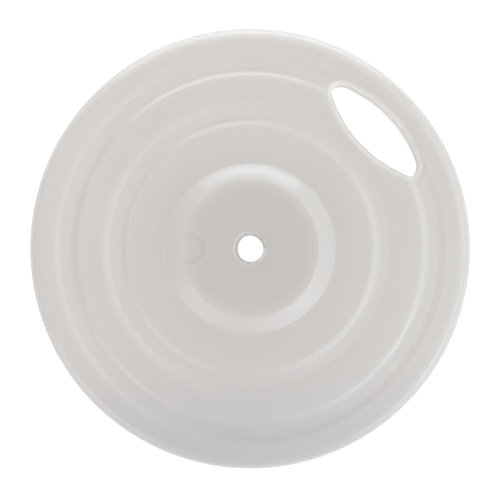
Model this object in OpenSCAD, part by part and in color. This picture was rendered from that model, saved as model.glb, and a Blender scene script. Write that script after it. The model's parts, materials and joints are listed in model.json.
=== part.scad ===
// Balloon arch base: a hollow moulded plate that water or sand makes heavy.
// It has a hole for the arch pole, a hand slot, and a filler underneath with a screw plug.
// +Z is up. The origin is on the pole's axis, at the floor. The hand slot lies across +Y.

/* [Plate] */
// Outside diameter of the plate
base_d = 400; // [370:5:460]
// Height of the ring next to the rim
rim_h = 36; // [32:1:44]
// Rise of each ring over the next one out
ring_rise = 2; // [1:0.25:3]
// Wall of the moulding
wall = 3; // [2:0.25:3.5]
// Rounding of the rim's upper edge
rim_top_round = 12; // [8:0.5:13]
// Rounding of the rim's lower edge
rim_foot_round = 9; // [6:0.5:12]

/* [Ring grooves] */
// From the plate's edge to the middle of the outer groove
outer_groove_inset = 33.7; // [32:0.1:36]
// From the middle of the outer groove to the middle of the inner one
groove_spacing = 44.4; // [40:0.1:48]
// Width of a groove's floor
groove_floor_w = 10; // [6:0.5:11]
// Depth of a groove below the ring outside it
groove_depth = 2; // [1:0.25:3]
// Slope of a groove's side next to the centre, in degrees
groove_inner_slope = 35; // [28:1:45]
// Slope of a groove's side next to the rim, in degrees
groove_outer_slope = 20; // [15:1:30]
// Rounding of a groove's shoulders
groove_shoulder_round = 14; // [8:1:18]
// Rounding along a groove's floor
groove_floor_round = 4; // [2:0.5:6]

/* [Centre boss] */
// Diameter of the boss at its top edge
boss_top_d = 124.5; // [116:0.5:132]
// Diameter of the boss at its foot
boss_foot_d = 153.5; // [144:0.5:165]
// Rise of the boss over the inner ring
boss_rise = 13; // [9:0.5:16]
// Rounding of the boss's top edge
boss_top_round = 6; // [3:0.5:8]
// Rounding at the boss's foot
boss_foot_round = 2; // [1:0.5:4]

/* [Pole hole] */
// Diameter of the pole hole
pole_hole_d = 24; // [18:0.5:30]
// Rounding of the hole's upper lip
pole_lip_round = 4.5; // [2:0.5:6]
// Rounding of the hole's lower lip
pole_under_round = 3; // [1:0.5:5]

/* [Recess underneath] */
// Depth of the recess under the boss
recess_depth = 28; // [26:0.5:30]
// How far the recess's ceiling reaches past the boss's foot
recess_margin = 6.5; // [5:0.5:9]
// How much further the recess reaches at the floor
recess_splay = 8; // [5:0.5:11]
// Rounding between the recess's ceiling and its side
recess_ceiling_round = 6; // [3:0.5:8]
// Rounding of the recess's mouth
recess_mouth_round = 5; // [3:0.5:8]
// Diameter of the sunk seat for the pole's nut
nut_seat_d = 56; // [44:0.5:58]
// Depth of the nut's seat
nut_seat_depth = 1.5; // [1:0.25:2]
// Rounding along the edge of the nut's seat
nut_seat_round = 0.8; // [0.3:0.1:1]

/* [Hand slot] */
// Length of the slot
slot_l = 107.8; // [98:0.2:116]
// Width of the slot at its middle
slot_w = 37.2; // [32:0.2:39]
// Radius of the slot's ends
slot_end_round = 8.6; // [6:0.2:12]
// From the plate's edge to the middle of the slot
slot_inset = 43.8; // [42:0.2:50]
// Rounding of the slot's lips
slot_lip_round = 4.5; // [3:0.25:5]

/* [Filler socket] */
// From the boss's foot in to the filler's axis
filler_inset = 23; // [22:0.5:26]
// Direction of the filler, in degrees from +X
filler_angle = 226.6; // [190:0.2:260]
// Diameter of the socket's bore
socket_bore_d = 25.2; // [23:0.2:26]
// Wall of the socket
socket_wall = 2.9; // [2.2:0.1:3]
// Room between the socket's top and the chamber's ceiling
socket_headroom = 10; // [9:0.5:12]
// Diameter of the socket's flange
socket_flange_d = 40; // [36:0.5:44]
// Thickness of the socket's flange
socket_flange_t = 2.5; // [1.5:0.25:3]
// Clearance of the socket in the plate's hole, on the radius
socket_fit = 0.1; // [0.05:0.05:0.3]

/* [Filler plug] */
// Depth that the plug screws into the socket
plug_depth = 11; // [10:0.5:12]
// Diameter of the plug's head
plug_head_d = 38; // [35:0.5:42]
// Thickness of the plug's head
plug_head_t = 4; // [3:0.25:5]
// Wall of the plug's hollow shank
plug_wall = 2.5; // [1.5:0.25:3]
// Length of the finger grip across the head
grip_l = 31; // [26:0.5:33]
// Width of the finger grip
grip_w = 7; // [5:0.5:9]
// Height of the finger grip
grip_h = 7.5; // [5:0.5:8]
// Rounding of the head's edge
plug_edge_round = 1.2; // [0.5:0.1:1.5]
// Thickness of the sealing washer
washer_t = 2; // [1:0.25:2.5]
// Width of the sealing washer, from its hole to its edge
washer_w = 5.2; // [4:0.1:5.6]

/* [Screw thread] */
// Pitch of the thread
thread_pitch = 5; // [4:0.25:6]
// Height of the thread's ridge
thread_depth = 1; // [0.6:0.1:1.2]
// Clearance between plug and socket, on the radius
thread_clearance = 0.4; // [0.3:0.05:0.5]
// Width of the ridge at its root
thread_root_w = 2.2; // [1.6:0.1:2.4]
// Width of the ridge at its tip
thread_tip_w = 1.2; // [0.8:0.1:1.4]

/* [Hidden] */
$fn = 96;

// How finely curves are drawn
arc_step = 9;
slot_end_steps = 8;
slot_side_steps = 14;
lip_steps = 5;
thread_steps = 30;
// The slot's lip stops this far round, in degrees, so that it meets the skin at a clear angle
lip_sweep = 70;
// Least rounding on the chamber's side of the wall
chamber_round = 0.6;
// How far a cut runs past the face that it opens
past = 5;
// How deep a ridge's root is sunk into what carries it
ridge_root = 0.4;
// Height of a ridge where it starts and ends
ridge_start = 0.2;
// Part of a turn in which a ridge grows to its full height
ridge_run_out = 0.12;
// Lengths under this count as nothing
tiny = 0.001;

milky_white = [0.83, 0.81, 0.79];
plug_white = [0.88, 0.87, 0.85];
rubber_grey = [0.30, 0.30, 0.31];

base_r = base_d / 2;
outer_groove_r = base_r - outer_groove_inset;
inner_groove_r = outer_groove_r - groove_spacing;
middle_h = rim_h + ring_rise;
inner_h = middle_h + ring_rise;
boss_h = inner_h + boss_rise;
pole_r = pole_hole_d / 2;
boss_foot_r = boss_foot_d / 2;
recess_ceiling_r = boss_foot_r + recess_margin;
nut_seat_h = recess_depth + nut_seat_depth;

slot_y = base_r - slot_inset;
slot_side_round = (pow(slot_w / 2, 2) + pow(slot_l / 2 - slot_end_round, 2) - pow(slot_end_round, 2))
    / (slot_w - 2 * slot_end_round);

filler_at = (boss_foot_r - filler_inset) * [cos(filler_angle), sin(filler_angle)];
socket_r = socket_bore_d / 2 + socket_wall;
socket_seat_h = recess_depth - socket_flange_t;
socket_top_h = boss_h - wall - socket_headroom;
shank_r = socket_bore_d / 2 - thread_depth - thread_clearance;
thread_tip_r = shank_r + thread_depth;
head_top_h = socket_seat_h - washer_t;
head_low_h = head_top_h - plug_head_t;
shank_top_h = socket_seat_h + plug_depth;
thread_end_room = thread_root_w / 2 + ridge_root;
plug_thread_h = socket_seat_h + thread_end_room;
socket_thread_h = plug_thread_h + thread_pitch / 2;
washer_hole_r = thread_tip_r + thread_clearance;

// Corners of a ring groove from the rim's side to the centre's: radius, height, rounding
function groove_corners(r, outer_h, inner_h) =
    let (floor_h = outer_h - groove_depth)
    [
        [r + groove_floor_w / 2 + groove_depth / tan(groove_outer_slope), outer_h, groove_shoulder_round],
        [r + groove_floor_w / 2, floor_h, groove_floor_round],
        [r - groove_floor_w / 2, floor_h, groove_floor_round],
        [
            r - groove_floor_w / 2 - (inner_h - floor_h) / tan(groove_inner_slope),
            inner_h,
            groove_shoulder_round
        ],
    ];

// Corners of the plate's section, once round from the pole hole's lower lip
plate_corners = concat(
    [
        [pole_r, nut_seat_h, pole_under_round],
        [nut_seat_d / 2, nut_seat_h, nut_seat_round],
        [nut_seat_d / 2 + nut_seat_depth, recess_depth, nut_seat_round],
        [recess_ceiling_r, recess_depth, recess_ceiling_round],
        [recess_ceiling_r + recess_splay, 0, recess_mouth_round],
        [base_r, 0, rim_foot_round],
        [base_r, rim_h, rim_top_round],
    ],
    groove_corners(outer_groove_r, rim_h, middle_h),
    groove_corners(inner_groove_r, middle_h, inner_h),
    [
        [boss_foot_r, inner_h, boss_foot_round],
        [boss_top_d / 2, boss_h, boss_top_round],
        [pole_r, boss_h, pole_lip_round],
    ]
);

function flat(p) = [p[0], p[1]];
function unit(v) = v / norm(v);
function around(list, i) = list[(i + len(list)) % len(list)];
function turn(a, b) = a[0] * b[1] - a[1] * b[0];
function left_of(v) = [-v[1], v[0]];

// Direction of the outline as it leaves corner i
function way(list, i) = unit(flat(around(list, i + 1)) - flat(around(list, i)));

// Length that a corner's rounding takes off each of its two sides
function tangent_length(list, i) =
    let (bend = acos(max(-1, min(1, way(list, i - 1) * way(list, i)))))
    list[i][2] * tan(bend / 2);

// Share of the side after corner i that the roundings at its two ends may have
function side_share(list, wanted, i) =
    let (side = norm(flat(around(list, i + 1)) - flat(around(list, i))))
    min(1, side / (around(wanted, i) + around(wanted, i + 1) + tiny));

// The outline with an arc at each corner, limited to the length of its sides
function rounded(list) =
    let (wanted = [for (i = [0:len(list) - 1]) tangent_length(list, i)])
    [
        for (i = [0:len(list) - 1])
            let (
                share = min(side_share(list, wanted, i - 1), side_share(list, wanted, i)),
                before = way(list, i - 1),
                after = way(list, i),
                side = turn(before, after) > 0 ? 1 : -1,
                bend = acos(max(-1, min(1, before * after))),
                r = list[i][2] * share,
                start = flat(list[i]) - before * wanted[i] * share,
                middle = start + side * r * left_of(before),
                steps = max(1, ceil(bend / arc_step))
            )
            for (k = [0:steps])
                let (a = side * bend * k / steps, spoke = start - middle)
                middle + [
                    spoke[0] * cos(a) - spoke[1] * sin(a),
                    spoke[0] * sin(a) + spoke[1] * cos(a)
                ]
    ];

// The outline's corners moved in by d, with their roundings to suit
function inset(list, d) = [
    for (i = [0:len(list) - 1])
        let (
            n1 = left_of(way(list, i - 1)),
            n2 = left_of(way(list, i)),
            p = flat(list[i]) + d * (n1 + n2) / (1 + n1 * n2),
            outward = turn(way(list, i - 1), way(list, i)) > 0
        )
        [p[0], p[1], outward ? max(chamber_round, list[i][2] - d) : list[i][2] + d]
];

plate_outline = rounded(plate_corners);
chamber_outline = rounded(inset(plate_corners, wall));

// The upper skin between boss and rim, as radius and height
upper_skin = [
    for (p = plate_outline)
        if (p[1] > rim_h - groove_depth - tiny && p[0] > boss_foot_r)
            p
];

function arc(middle, r, from, to, steps) = [
    for (k = [0:steps])
        let (a = from + (to - from) * k / steps)
        middle + r * [cos(a), sin(a)]
];

// The slot's outline, grown by e: two flat arcs and two tight ends, once round
function slot_outline(e) =
    let (
        end_x = slot_l / 2 - slot_end_round,
        side_y = slot_side_round - slot_w / 2,
        a = atan2(side_y, end_x),
        end_r = slot_end_round + e,
        side_r = slot_side_round + e,
        at = [0, slot_y]
    )
    concat(
        arc(at + [end_x, 0], end_r, -a, a, slot_end_steps),
        arc(at + [0, -side_y], side_r, a, 180 - a, slot_side_steps),
        arc(at + [-end_x, 0], end_r, 180 - a, 180 + a, slot_end_steps),
        arc(at + [0, side_y], side_r, 180 + a, 360 - a, slot_side_steps)
    );

// The outline without the doubled points where its arcs meet
function once(list) = [
    for (i = [0:len(list) - 1])
        if (norm(list[i] - around(list, i - 1)) > tiny)
            list[i]
];

// A skin of quads, split in two, over rings of n points, with flat ends
function ring_faces(rings, n) = concat(
    [[for (i = [0:n - 1]) i]],
    [
        for (k = [0:rings - 2])
            for (i = [0:n - 1])
                let (a = k * n + i, b = k * n + (i + 1) % n)
                each [[a, a + n, b], [b, a + n, b + n]]
    ],
    [[for (i = [n - 1:-1:0]) (rings - 1) * n + i]]
);

// The hand slot's cut, with lips that follow the upper skin and the floor side
module slot_cut() {
    sweep = [for (k = [0:lip_steps]) lip_sweep * k / lip_steps];
    grow = [for (a = sweep) slot_lip_round * (1 - cos(a))];
    sink = [for (a = sweep) slot_lip_round * (1 - sin(a))];
    low = [for (k = [lip_steps:-1:0]) [for (p = once(slot_outline(grow[k]))) [p[0], p[1], sink[k]]]];
    high = [
        for (k = [0:lip_steps])
            [for (p = once(slot_outline(grow[k]))) [p[0], p[1], lookup(norm(p), upper_skin) - sink[k]]]
    ];
    widest = once(slot_outline(grow[lip_steps]));
    under = [for (p = widest) [p[0], p[1], -past]];
    over = [for (p = widest) [p[0], p[1], boss_h]];
    rings = concat([under], low, high, [over]);
    polyhedron([for (ring = rings) each ring], ring_faces(len(rings), len(widest)));
}

// What stands in the chamber around the hand slot
module slot_tunnel() {
    linear_extrude(boss_h)
        polygon(once(slot_outline(wall)));
}

// The space inside the plate for water or sand
module ballast_chamber() {
    difference() {
        rotate_extrude()
            polygon(chamber_outline);
        slot_tunnel();
    }
}

module base_shell() {
    color(milky_white)
        difference() {
            rotate_extrude()
                polygon(plate_outline);
            ballast_chamber();
            slot_cut();
            translate([filler_at[0], filler_at[1], recess_depth - past])
                cylinder(r = socket_r + socket_fit, h = wall + 2 * past);
        }
}

// A helical ridge whose section runs from root_r to tip_r and that climbs by rise, a pitch each turn
module thread_ridge(root_r, tip_r, rise) {
    turns = rise / thread_pitch;
    steps = ceil(turns * thread_steps);
    run_out = ridge_run_out * thread_steps;
    points = [
        for (i = [0:steps])
            let (
                a = 360 * turns * i / steps,
                z = rise * i / steps,
                full = min(1, min(i, steps - i) / run_out),
                start_r = root_r + sign(tip_r - root_r) * (ridge_root + ridge_start),
                crest_r = start_r + (tip_r - start_r) * full
            )
            each [
                [root_r * cos(a), root_r * sin(a), z - thread_root_w / 2],
                [root_r * cos(a), root_r * sin(a), z + thread_root_w / 2],
                [crest_r * cos(a), crest_r * sin(a), z + thread_tip_w / 2],
                [crest_r * cos(a), crest_r * sin(a), z - thread_tip_w / 2],
            ]
    ];
    mirrored = tip_r < root_r;
    faces = ring_faces(steps + 1, 4);
    polyhedron(points, mirrored ? [for (f = faces) [for (i = [len(f) - 1:-1:0]) f[i]]] : faces);
}

module filler_socket() {
    color(plug_white)
        translate([filler_at[0], filler_at[1], 0]) {
            rotate_extrude()
                polygon([
                    [socket_bore_d / 2, socket_seat_h],
                    [socket_flange_d / 2, socket_seat_h],
                    [socket_flange_d / 2, recess_depth],
                    [socket_r, recess_depth],
                    [socket_r, socket_top_h],
                    [socket_bore_d / 2, socket_top_h],
                ]);
            translate([0, 0, socket_thread_h])
                thread_ridge(
                    socket_bore_d / 2 + ridge_root,
                    socket_bore_d / 2 - thread_depth,
                    socket_top_h - thread_end_room - socket_thread_h
                );
        }
}

// Finger grip across the plug's head, with its root sunk halfway into the head
module plug_grip() {
    straight = grip_l - grip_w;
    linear_extrude(grip_h + plug_head_t / 2)
        union() {
            square([straight, grip_w], center = true);
            for (end = [-1, 1])
                translate([end * straight / 2, 0])
                    circle(d = grip_w);
        }
}

module filler_plug() {
    hollow_r = shank_r - plug_wall;
    head_r = plug_head_d / 2;
    color(plug_white)
        translate([filler_at[0], filler_at[1], 0]) {
            rotate_extrude()
                polygon([
                    [0, head_low_h],
                    [head_r - plug_edge_round, head_low_h],
                    [head_r, head_low_h + plug_edge_round],
                    [head_r, head_top_h],
                    [shank_r, head_top_h],
                    [shank_r, shank_top_h],
                    [hollow_r, shank_top_h],
                    [hollow_r, head_top_h],
                    [0, head_top_h],
                ]);
            translate([0, 0, plug_thread_h])
                thread_ridge(
                    shank_r - ridge_root,
                    thread_tip_r,
                    shank_top_h - thread_end_room - plug_thread_h
                );
            translate([0, 0, head_low_h - grip_h])
                plug_grip();
        }
}

module plug_washer() {
    color(rubber_grey)
        translate([filler_at[0], filler_at[1], head_top_h])
            difference() {
                cylinder(r = washer_hole_r + washer_w, h = washer_t);
                translate([0, 0, -past])
                    cylinder(r = washer_hole_r, h = washer_t + 2 * past);
            }
}

base_shell();
filler_socket();
filler_plug();
plug_washer();
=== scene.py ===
"""Dresses a fillable base for a balloon arch.

The base is a hollow moulded plate with ring grooves, a boss with a hole for the arch pole and a hand
slot. Under the boss sits the filler: a welded socket, a screw plug and its sealing washer. The file is
laid out as an add-on and is run as a script.
"""

import json
import math

import bmesh
import bpy
import numpy as np
from mathutils import Matrix, Vector
from mathutils.geometry import delaunay_2d_cdt


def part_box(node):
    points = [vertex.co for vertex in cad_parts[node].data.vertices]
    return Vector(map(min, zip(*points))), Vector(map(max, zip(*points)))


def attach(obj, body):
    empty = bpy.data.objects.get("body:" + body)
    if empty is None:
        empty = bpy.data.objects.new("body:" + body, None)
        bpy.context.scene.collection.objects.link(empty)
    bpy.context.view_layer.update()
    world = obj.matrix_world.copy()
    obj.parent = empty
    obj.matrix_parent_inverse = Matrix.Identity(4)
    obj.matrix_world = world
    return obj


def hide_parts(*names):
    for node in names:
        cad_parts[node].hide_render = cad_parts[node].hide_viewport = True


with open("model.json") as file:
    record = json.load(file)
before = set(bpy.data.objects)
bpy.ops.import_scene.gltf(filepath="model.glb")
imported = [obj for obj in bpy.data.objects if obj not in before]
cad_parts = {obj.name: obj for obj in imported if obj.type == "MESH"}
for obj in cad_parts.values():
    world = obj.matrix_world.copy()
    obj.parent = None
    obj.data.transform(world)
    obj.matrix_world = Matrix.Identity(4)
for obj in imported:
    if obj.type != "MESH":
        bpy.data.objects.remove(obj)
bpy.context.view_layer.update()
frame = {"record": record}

bl_info = {
    "name": "Balloon arch base",
    "version": (1, 0, 0),
    "blender": (4, 5, 0),
    "location": "3D View > Sidebar > Arch base",
    "description": "Builds a fillable base for a balloon arch around its packed solids",
    "category": "Object",
}

MM = 0.001

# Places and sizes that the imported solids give
SHELL_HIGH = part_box("base_shell")[1]
SOCKET_LOW, SOCKET_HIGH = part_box("filler_socket")
PLUG_LOW, PLUG_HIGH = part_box("filler_plug")
WASHER_LOW, WASHER_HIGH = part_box("plug_washer")
MOUNTS = {mount["name"]: mount for mount in frame["record"]["mounts"]}
POLE_RADIUS = MOUNTS["pole_bore"]["dims"]["r_mm"] * MM
SEAT_HEIGHT = MOUNTS["nut_face"]["pos_m"][2]
FILLER = (SOCKET_LOW + SOCKET_HIGH) / 2

# How finely the round forms are drawn: turns, degrees of arc per point, and steps along the slot
OUTER_TURNS = 320
INNER_TURNS = 128
FILLER_TURNS = 96
OUTER_STEP = 7
INNER_STEP = 15
FINE_STEP = 1
LONGEST_RUN = 6 * MM
SLOT_END_STEPS = 12
SLOT_SIDE_STEPS = 56
LIP_STEPS = 9
TUNNEL_STEPS = 4
GRIP_STEPS = 9
SEAM_SIDES = 8
# How far the windows in the turned skins reach from the middles of the slot and the filler's hole: outwards
# in slot widths and hole radii, and sideways in half slot lengths and hole radii
SLOT_WINDOW_OUT = 0.8
SLOT_WINDOW_SIDE = 1.15
FILLER_WINDOW_OUT = 1.45
FILLER_WINDOW_SIDE = 1.3
# Grid points this close to a slot or hole give way to its own points
PATCH_CLEARANCE = 1.2 * MM
# Areas, gaps and sides that count as none
SLIVER = 1e-12
SAME_PLACE = 1e-7
NO_LENGTH = 1e-6
# Attribute of the trimmed edges: up to 1 for painted light on them, down to -1 for painted shade
EDGE_LIGHT_AND_SHADE = "trimmed_edge"


def linear(hex_code):
    """An sRGB hex colour as linear red, green and blue, with a full alpha."""
    parts = [int(hex_code[i:i + 2], 16) / 255 for i in (1, 3, 5)]
    return (*(c / 12.92 if c <= 0.04045 else ((c + 0.055) / 1.055) ** 2.4 for c in parts), 1)


def length(name, description, size):
    """A property that holds a length in metres."""
    return bpy.props.FloatProperty(
        name=name, description=description, default=size, min=0, precision=5,
        unit="LENGTH", subtype="DISTANCE",
    )


def slope(name, description, degrees):
    """A property that holds an angle."""
    return bpy.props.FloatProperty(
        name=name, description=description, default=math.radians(degrees), unit="ROTATION", subtype="ANGLE"
    )


def tint(name, description, hex_code):
    """A property that holds a colour."""
    return bpy.props.FloatVectorProperty(
        name=name, description=description, default=linear(hex_code), size=4, min=0, max=1, subtype="COLOR"
    )


class PlateSizes(bpy.types.PropertyGroup):
    """The plate's section, which is turned round the pole's axis."""

    radius: length("Radius", "From the pole's axis to the rim", SHELL_HIGH.x)
    wall: length("Wall", "Thickness of the moulded wall", 3 * MM)
    rim_height: length("Rim height", "From the floor to the top of the rim", 36 * MM)
    ring_rise: length("Ring rise", "How much each ring stands above the one outside it", 2 * MM)
    rim_top_round: length("Rim top rounding", "Radius of the rim's upper edge", 12 * MM)
    rim_foot_round: length("Rim foot rounding", "Radius of the rim's lower edge", 9 * MM)
    groove_inset: length("Groove inset", "From the rim to the middle of the outer groove", 33.7 * MM)
    groove_spacing: length("Groove spacing", "Between the middles of the grooves", 44.4 * MM)
    groove_floor: length("Groove floor", "Width of a groove's flat floor", 10 * MM)
    groove_depth: length("Groove depth", "How deep a groove lies below the ring outside it", 2 * MM)
    inner_slope: slope("Inner slope", "Slope of a groove's wall on the side of the pole", 35)
    outer_slope: slope("Outer slope", "Slope of a groove's wall on the side of the rim", 20)
    shoulder_round: length("Shoulder rounding", "Radius of a groove's shoulder towards the pole", 7 * MM)
    middle_round: length("Middle shoulder", "Radius of the inner groove's shoulder towards the rim", 20 * MM)
    outer_round: length("Outer shoulder", "Radius of the outer groove's shoulder towards the rim", 5 * MM)
    inner_foot: length("Inner foot", "Radius at a groove's floor towards the pole", 9 * MM)
    outer_foot: length("Outer foot", "Radius at a groove's floor towards the rim", 4 * MM)
    boss_height: length("Boss height", "From the floor to the top of the boss", SHELL_HIGH.z)
    boss_top_radius: length("Boss top radius", "Radius of the boss's flat top", 62.25 * MM)
    boss_foot_radius: length("Boss foot radius", "Radius of the boss where it meets the plate", 76.75 * MM)
    boss_top_round: length("Boss top rounding", "Radius of the boss's upper edge", 4 * MM)
    boss_foot_round: length("Boss foot rounding", "Radius at the boss's foot", 2 * MM)
    pole_radius: length("Pole hole radius", "Radius of the pole hole", POLE_RADIUS)
    pole_lip: length("Pole hole lip", "Width of the bevel at the pole hole's upper edge", 3.4 * MM)
    lip_depth: length("Pole hole lip depth", "Depth of the bevel at the pole hole's upper edge", 3 * MM)
    lip_round: length("Pole hole lip rounding", "Radius of the bevel's two edges", 1.8 * MM)
    pole_under: length("Pole hole underside", "Rounding of the pole hole's lower edge", 3 * MM)
    recess_depth: length("Recess depth", "Height of the recess under the boss", 28 * MM)
    recess_margin: length("Recess margin", "How far the recess reaches past the boss's foot", 6.5 * MM)
    recess_splay: length("Recess splay", "How far the recess's side leans out", 8 * MM)
    ceiling_round: length("Ceiling rounding", "Radius at the recess's ceiling", 6 * MM)
    mouth_round: length("Mouth rounding", "Radius at the recess's mouth", 5 * MM)
    seat_radius: length("Nut seat radius", "Radius of the sunk seat under the pole hole", 28 * MM)
    seat_round: length("Nut seat rounding", "Radius at the seat's edges", 0.8 * MM)
    sag: length("Sag", "How far the upper skin wanders from flat as it cools", 0.12 * MM)
    trim_wander: length("Trim wander", "How far the trimmed edge of the pole hole wanders", 0.18 * MM)
    trim_shift: length("Trim shift", "How far the trimmed edge of the pole hole lies off the axis", 0.4 * MM)
    trim_burr: length("Trim burr", "How far the trimmed edge of the pole hole stands in", 0.3 * MM)
    seam: length("Mould seam", "Radius of the bead where the mould's halves met", 0.35 * MM)


class SlotSizes(bpy.types.PropertyGroup):
    """The hand slot, an oval of two flat arcs whose ends are tighter on the side of the pole."""

    length: length("Length", "Length of the slot", 107.8 * MM)
    width: length("Width", "Width of the slot at its middle", 37.2 * MM)
    inner_end: length("Inner end radius", "Radius of the slot's ends on the side of the pole", 5 * MM)
    outer_end: length("Outer end radius", "Radius of the slot's ends on the side of the rim", 12 * MM)
    tip_shift: length("Tip shift", "How far the slot's tips are shifted towards the pole", 2.2 * MM)
    inset: length("Inset", "From the rim to the middle of the slot", 43.8 * MM)
    lip_width: length("Lip width", "Width of the slot's bevelled lips", 4.5 * MM)
    lip_depth: length("Lip depth", "Depth of the slot's bevelled lips", 3.2 * MM)


class FillerSizes(bpy.types.PropertyGroup):
    """The filler's socket, plug and washer, which share one axis."""

    flange_radius: length("Flange radius", "Radius of the socket's flange", SOCKET_HIGH.x - FILLER.x)
    flange_height: length("Flange height", "Thickness of the socket's flange", 2.5 * MM)
    socket_radius: length("Socket radius", "Outer radius of the socket's neck", 15.5 * MM)
    socket_fit: length("Socket fit", "Gap between the socket's neck and its hole", 0.1 * MM)
    bore_radius: length("Bore radius", "Inner radius of the socket", 12.6 * MM)
    shank_radius: length("Shank radius", "Radius of the plug's shank below the thread", 11.2 * MM)
    plug_wall: length("Plug wall", "Wall of the hollow shank", 2.5 * MM)
    head_radius: length("Head radius", "Radius of the plug's head", PLUG_HIGH.x - FILLER.x)
    head_height: length("Head height", "Thickness of the plug's head", 4 * MM)
    grip_length: length("Grip length", "Length of the bar that fingers turn", 31 * MM)
    grip_width: length("Grip width", "Width of the bar that fingers turn", 7 * MM)
    washer_radius: length("Washer radius", "Outer radius of the washer", WASHER_HIGH.x - FILLER.x)
    washer_hole: length("Washer hole", "Radius of the washer's hole", 12.6 * MM)
    washer_fit: length("Washer fit", "Gap that lets the plug's head turn on the washer", 0.05 * MM)
    thread_pitch: length("Thread pitch", "Rise of the thread in one turn", 5 * MM)
    thread_depth: length("Thread depth", "How far the ridge stands out", 1 * MM)
    thread_root: length("Thread root", "Width of the ridge at its root", 2.2 * MM)
    thread_tip: length("Thread tip", "Width of the ridge at its tip", 1.2 * MM)
    plug_thread_foot: length("Plug thread foot", "Height at which the plug's thread starts", 27 * MM)
    plug_thread_rise: length("Plug thread rise", "Rise of the plug's thread", 8 * MM)
    socket_thread_foot: length("Socket thread foot", "Height at which the socket's thread starts", 29.5 * MM)
    socket_thread_rise: length("Socket thread rise", "Rise of the socket's thread", 9 * MM)
    edge_round: length("Edge rounding", "Radius of the plug's edges", 1.2 * MM)
    small_round: length("Small rounding", "Radius of the socket's and washer's edges", 0.5 * MM)


class Finishes(bpy.types.PropertyGroup):
    """The colours of the materials."""

    plate: tint("Plate", "Natural polyethylene of the plate", "#D3D0CD")
    plate_cloud: tint("Plate clouding", "Slightly denser patches of the plate", "#D0CDCA")
    # Painted light: paler bands at the grooves and on the boss's side
    brightened: tint("Thick wall", "The plate's polyethylene where its wall is thick", "#D5D2CF")
    # Painted shade on the boss's top
    boss: tint("Boss", "The plate's polyethylene where it was stretched thinner", "#C8C5C2")
    # Painted shade towards the picture's lower side and at the rim's edge
    shaded: tint("Thin wall", "The plate's polyethylene at the rim's seam and at its thin side", "#C6C5C6")
    # Painted light on the trimmed edges of the pole hole and the slot
    trimmed: tint("Trimmed edges", "The plate's polyethylene where a knife whitened it", "#F1F0ED")
    speck: tint("Specks", "Burnt grains in the plate's polyethylene", "#A9A49C")
    # Real scuffs at the foot, and painted shade at the pole hole's very edge and on the slot's side towards
    # the pole
    scuff_and_edge_shade: tint("Scuffs", "Rubbed marks at the foot and on the trimmed edges", "#B9B5AE")
    socket: tint("Socket", "Polyethylene of the socket", "#DAD8D4")
    plug: tint("Plug", "Polyethylene of the plug", "#E2E0DB")
    washer: tint("Washer", "Rubber of the washer", "#3A3A3B")
    floor: tint("Floor", "Paper that the base stands on", "#F1F1F0")
    floor_shade: tint("Floor shadow", "The share of the paper's white that the light gives", "#939393")


class StudioSettings(bpy.types.PropertyGroup):
    """The camera and the light."""

    heading: slope("Heading", "Direction of the picture's right edge in plan", 46.6)
    camera_height: length("Camera height", "From the floor to the lens", 1800 * MM)
    camera_left: length("Camera left", "How far the camera stands left of the axis in the picture", 0.18 * MM)
    camera_down: length("Camera down", "How far the camera stands below the axis in the picture", 1.27 * MM)
    lens: bpy.props.FloatProperty(
        name="Lens", description="Focal length in millimetres", default=140.66, unit="CAMERA"
    )
    ambient: bpy.props.FloatProperty(
        name="Ambient", description="Strength of the tent's even light", default=0.43, min=0
    )
    bounce: bpy.props.FloatProperty(
        name="Bounce", description="Strength that the lit paper adds from below", default=0.56, min=0
    )


# Outlines


def cross(a, b):
    """The flat cross product of two directions, or of rows of them."""
    return a[..., 0] * b[..., 1] - a[..., 1] * b[..., 0]


def headings(points):
    """Unit directions from each point of a closed outline to the next."""
    way = np.roll(points, -1, axis=0) - points
    return way / np.linalg.norm(way, axis=1)[:, None]


def rounded(corners, step):
    """A closed outline through corners (x, y, radius), with an arc at each corner.

    Arcs that don't fit on a side shrink together until they do.
    """
    points = np.array([corner[:2] for corner in corners])
    radii = np.array([corner[2] for corner in corners])
    out_way = headings(points)
    in_way = np.roll(out_way, 1, axis=0)
    bends = np.arccos(np.clip((in_way * out_way).sum(axis=1), -1, 1))
    tangents = radii * np.tan(bends / 2)
    sides = np.linalg.norm(np.roll(points, -1, axis=0) - points, axis=1)
    shares = np.minimum(1, sides / (tangents + np.roll(tangents, -1) + NO_LENGTH))
    shares = np.minimum(shares, np.roll(shares, 1))
    outline = []
    for point, way, bend, turn, tangent, radius in zip(
        points, in_way, bends, np.sign(cross(in_way, out_way)), tangents * shares, radii * shares
    ):
        start = point - way * tangent
        middle = start + turn * radius * np.array([-way[1], way[0]])
        swing = turn * bend * np.linspace(0, 1, max(1, math.ceil(math.degrees(bend) / step)) + 1)
        arm = start - middle
        outline.extend(
            middle + [arm[0] * c - arm[1] * s, arm[0] * s + arm[1] * c]
            for c, s in zip(np.cos(swing), np.sin(swing))
        )
    return np.array(outline)


def inset(corners, depth, least_round):
    """The corners moved inwards by a wall, with roundings that keep the wall even."""
    points = np.array([corner[:2] for corner in corners])
    out_way = headings(points)
    in_way = np.roll(out_way, 1, axis=0)
    moved = []
    for corner, before, after in zip(corners, in_way, out_way):
        left_before = np.array([-before[1], before[0]])
        left_after = np.array([-after[1], after[0]])
        place = np.array(corner[:2]) + depth * (left_before + left_after) / (1 + left_before @ left_after)
        grown = corner[2] + depth
        shrunk = max(least_round, corner[2] - depth)
        moved.append((*place, shrunk if cross(before, after) > 0 else grown))
    return moved


def with_stops(outline, longest):
    """The closed outline with extra points on its long straight runs."""
    points = []
    for here, there in zip(outline, np.roll(outline, -1, axis=0)):
        runs = max(1, math.ceil(np.linalg.norm(there - here) / longest))
        points.extend(here + (there - here) * k / runs for k in range(runs))
    return np.array(points)


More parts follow.
